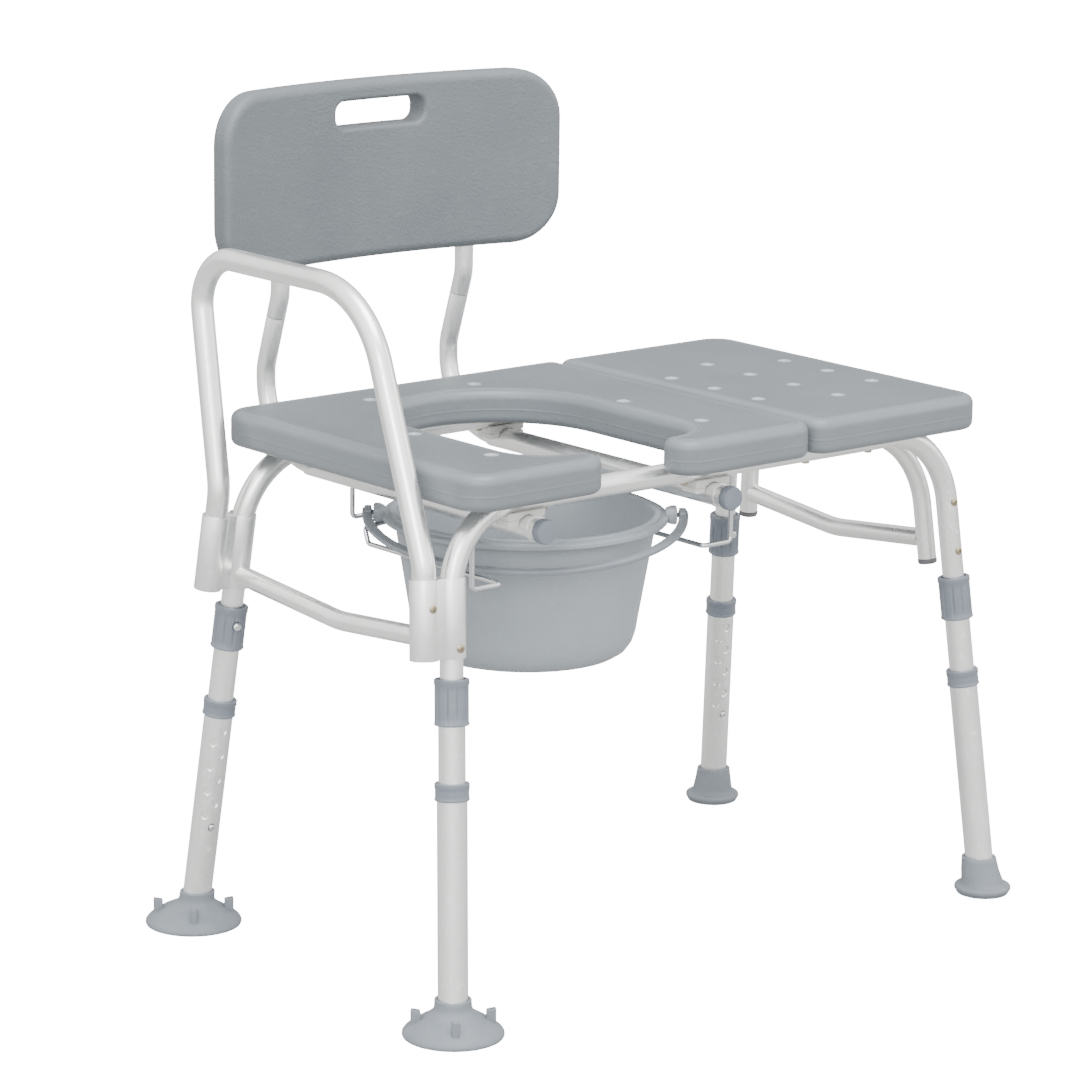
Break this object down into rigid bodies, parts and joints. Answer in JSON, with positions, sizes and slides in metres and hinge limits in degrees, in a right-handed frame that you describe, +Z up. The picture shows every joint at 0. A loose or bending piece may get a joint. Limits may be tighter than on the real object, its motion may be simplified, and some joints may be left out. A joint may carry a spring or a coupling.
{
  "type": "bath transfer bench with commode opening",
  "caption": "Bath transfer bench: two-board seat with a commode opening and pull-out bucket, armrest, pull-out backrest and splayed legs with push-button height adjustment.",
  "frame": {"origin": "on the floor, under the middle of the overall length and width", "axes": "+X runs along the bench away from the armrest, +Y from the open front to the backrest, +Z up"},
  "size_m": [0.775, 0.51, 0.828],
  "materials": {
    "satin_aluminium": "satin bright anodised",
    "grey_board_plastic": "fine moulded texture",
    "grey_fitting_plastic": "satin moulded",
    "light_grey_bucket_plastic": "smooth satin",
    "grey_rubber": "matte",
    "bright_wire": "bright plated",
    "button_steel": "polished",
    "white_saddle_plastic": "satin moulded"
  },
  "bodies": {
    "frame": {"front_frame_tube": "satin_aluminium", "rear_frame_tube": "satin_aluminium", "front_left_leg_tube": "satin_aluminium", "front_left_leg_collar": "grey_fitting_plastic", "front_right_leg_tube": "satin_aluminium", "front_right_leg_collar": "grey_fitting_plastic", "rear_left_leg_tube": "satin_aluminium", "rear_left_leg_collar": "grey_fitting_plastic", "rear_right_leg_tube": "satin_aluminium", "rear_right_leg_collar": "grey_fitting_plastic", "left_cross_brace": "satin_aluminium", "right_cross_brace": "satin_aluminium", "front_right_stub_tube": "satin_aluminium", "rear_right_stub_tube": "satin_aluminium", "front_right_stub_cap": "grey_fitting_plastic", "rear_right_stub_cap": "grey_fitting_plastic", "front_sleeve_bracket": "satin_aluminium", "rear_sleeve_bracket": "satin_aluminium", "armrest_tube": "satin_aluminium", "commode_seat_board": "grey_board_plastic", "transfer_seat_board": "grey_board_plastic", "left_back_receiver": "satin_aluminium", "left_receiver_cap": "grey_fitting_plastic", "front_left_saddle": "white_saddle_plastic", "rear_left_saddle": "white_saddle_plastic", "left_bucket_wire": "bright_wire", "right_back_receiver": "satin_aluminium", "right_receiver_cap": "grey_fitting_plastic", "front_right_saddle": "white_saddle_plastic", "rear_right_saddle": "white_saddle_plastic", "right_bucket_wire": "bright_wire"},
    "front_left_extension": {"front_left_leg_extension": "satin_aluminium", "front_left_extension_collar": "grey_fitting_plastic", "front_left_foot": "grey_rubber"},
    "front_left_height_button": {"front_left_height_button": "button_steel"},
    "front_left_collar_button": {"front_left_collar_button": "button_steel"},
    "front_right_extension": {"front_right_leg_extension": "satin_aluminium", "front_right_extension_collar": "grey_fitting_plastic", "front_right_foot": "grey_rubber"},
    "front_right_height_button": {"front_right_height_button": "button_steel"},
    "front_right_collar_button": {"front_right_collar_button": "button_steel"},
    "rear_left_extension": {"rear_left_leg_extension": "satin_aluminium", "rear_left_extension_collar": "grey_fitting_plastic", "rear_left_foot": "grey_rubber"},
    "rear_left_height_button": {"rear_left_height_button": "button_steel"},
    "rear_left_collar_button": {"rear_left_collar_button": "button_steel"},
    "rear_right_extension": {"rear_right_leg_extension": "satin_aluminium", "rear_right_extension_collar": "grey_fitting_plastic", "rear_right_foot": "grey_rubber"},
    "rear_right_height_button": {"rear_right_height_button": "button_steel"},
    "rear_right_collar_button": {"rear_right_collar_button": "button_steel"},
    "backrest": {"left_back_post": "satin_aluminium", "left_upper_post": "satin_aluminium", "right_back_post": "satin_aluminium", "right_upper_post": "satin_aluminium", "back_panel": "grey_board_plastic"},
    "bucket": {"commode_bucket": "light_grey_bucket_plastic"},
    "bail": {"bucket_bail": "light_grey_bucket_plastic"}
  },
  "joints": [
    {"name": "front_left_height_slide", "type": "slide", "parent": "frame", "child": "front_left_extension", "axis": [-0.0685, -0.1056, -0.9921], "range_m": [0, 0.1016]},
    {"name": "front_right_height_slide", "type": "slide", "parent": "frame", "child": "front_right_extension", "axis": [0.0685, -0.1056, -0.9921], "range_m": [0, 0.1016]},
    {"name": "rear_left_height_slide", "type": "slide", "parent": "frame", "child": "rear_left_extension", "axis": [-0.0685, 0.1056, -0.9921], "range_m": [0, 0.1016]},
    {"name": "rear_right_height_slide", "type": "slide", "parent": "frame", "child": "rear_right_extension", "axis": [0.0685, 0.1056, -0.9921], "range_m": [0, 0.1016]},
    {"name": "front_left_collar_press", "type": "slide", "parent": "frame", "child": "front_left_collar_button", "axis": [-0.1697, -0.9787, 0.1158], "range_m": [0, 0.003], "stiffness_N_per_m": 400},
    {"name": "front_left_height_press", "type": "slide", "parent": "front_left_extension", "child": "front_left_height_button", "axis": [-0.1697, -0.9787, 0.1158], "range_m": [0, 0.0025], "stiffness_N_per_m": 400},
    {"name": "front_right_collar_press", "type": "slide", "parent": "frame", "child": "front_right_collar_button", "axis": [-0.1768, -0.9799, 0.0921], "range_m": [0, 0.003], "stiffness_N_per_m": 400},
    {"name": "front_right_height_press", "type": "slide", "parent": "front_right_extension", "child": "front_right_height_button", "axis": [-0.1768, -0.9799, 0.0921], "range_m": [0, 0.0025], "stiffness_N_per_m": 400},
    {"name": "rear_left_collar_press", "type": "slide", "parent": "frame", "child": "rear_left_collar_button", "axis": [0.1768, 0.9799, 0.0921], "range_m": [0, 0.003], "stiffness_N_per_m": 400},
    {"name": "rear_left_height_press", "type": "slide", "parent": "rear_left_extension", "child": "rear_left_height_button", "axis": [0.1768, 0.9799, 0.0921], "range_m": [0, 0.0025], "stiffness_N_per_m": 400},
    {"name": "rear_right_collar_press", "type": "slide", "parent": "frame", "child": "rear_right_collar_button", "axis": [0.1697, 0.9787, 0.1158], "range_m": [0, 0.003], "stiffness_N_per_m": 400},
    {"name": "rear_right_height_press", "type": "slide", "parent": "rear_right_extension", "child": "rear_right_height_button", "axis": [0.1697, 0.9787, 0.1158], "range_m": [0, 0.0025], "stiffness_N_per_m": 400},
    {"name": "backrest_pull", "type": "slide", "parent": "frame", "child": "backrest", "axis": [0, 1, 0], "range_m": [0, 0.12]},
    {"name": "bucket_slide", "type": "slide", "parent": "frame", "child": "bucket", "axis": [0, -1, 0], "range_m": [0, 0.3]},
    {"name": "bail_lift", "type": "hinge", "parent": "bucket", "child": "bail", "pos_m": [-0.1075, -0.024, 0.43], "axis": [-0.7771, 0.6293, 0], "range_deg": [0, 13.2]}
  ]
}
